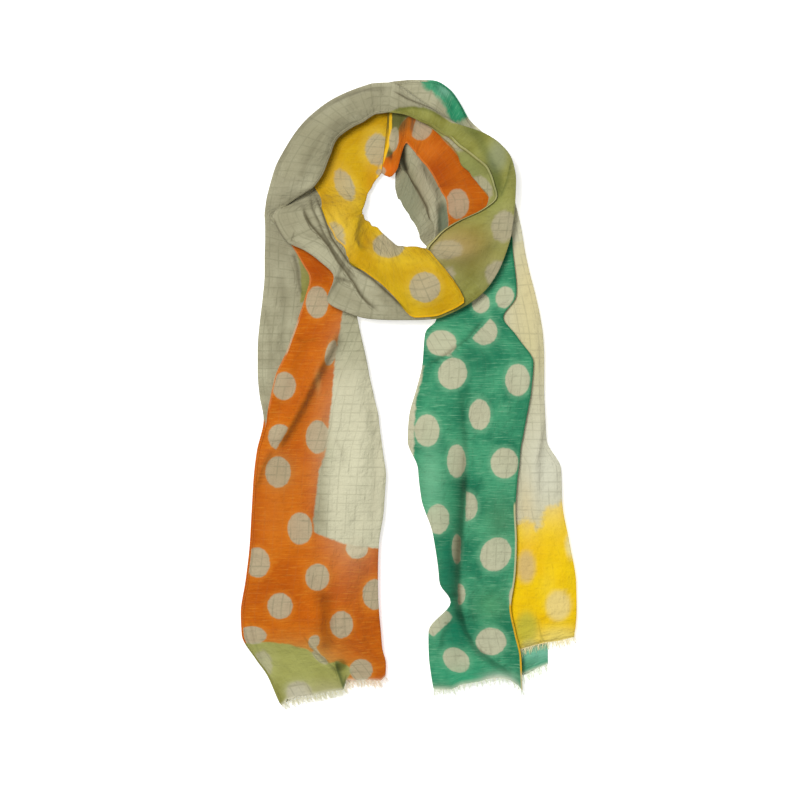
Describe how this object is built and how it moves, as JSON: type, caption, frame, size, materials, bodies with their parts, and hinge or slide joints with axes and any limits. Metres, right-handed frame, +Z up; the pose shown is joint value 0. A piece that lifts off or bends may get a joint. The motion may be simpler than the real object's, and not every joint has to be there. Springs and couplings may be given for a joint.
{
  "type": "long scarf",
  "caption": "Long woven scarf wound round a neck opening with both fringed ends hanging side by side, pleated lengthwise, with dyed colour areas, round dots and a faint windowpane check.",
  "frame": {"origin": "on the surface it lies on, under the centre of the bounding box", "axes": "+Y from the hanging ends towards the back of the neck opening, +X to the right of it, +Z up away from the surface"},
  "size_m": [0.3386, 0.6292, 0.0402],
  "materials": {
    "printed_cloth": "matte sheer plain weave, stone coloured with a thin grey windowpane check, with orange, golden yellow, green and olive dyed areas and stone dots",
    "orange_threads": "matte loose warp threads, orange and olive",
    "green_threads": "matte loose warp threads, green and yellow"
  },
  "bodies": {
    "root": {"scarf_cloth": "printed_cloth", "fringe_left_end": "orange_threads", "fringe_right_end": "green_threads"}
  },
  "joints": []
}
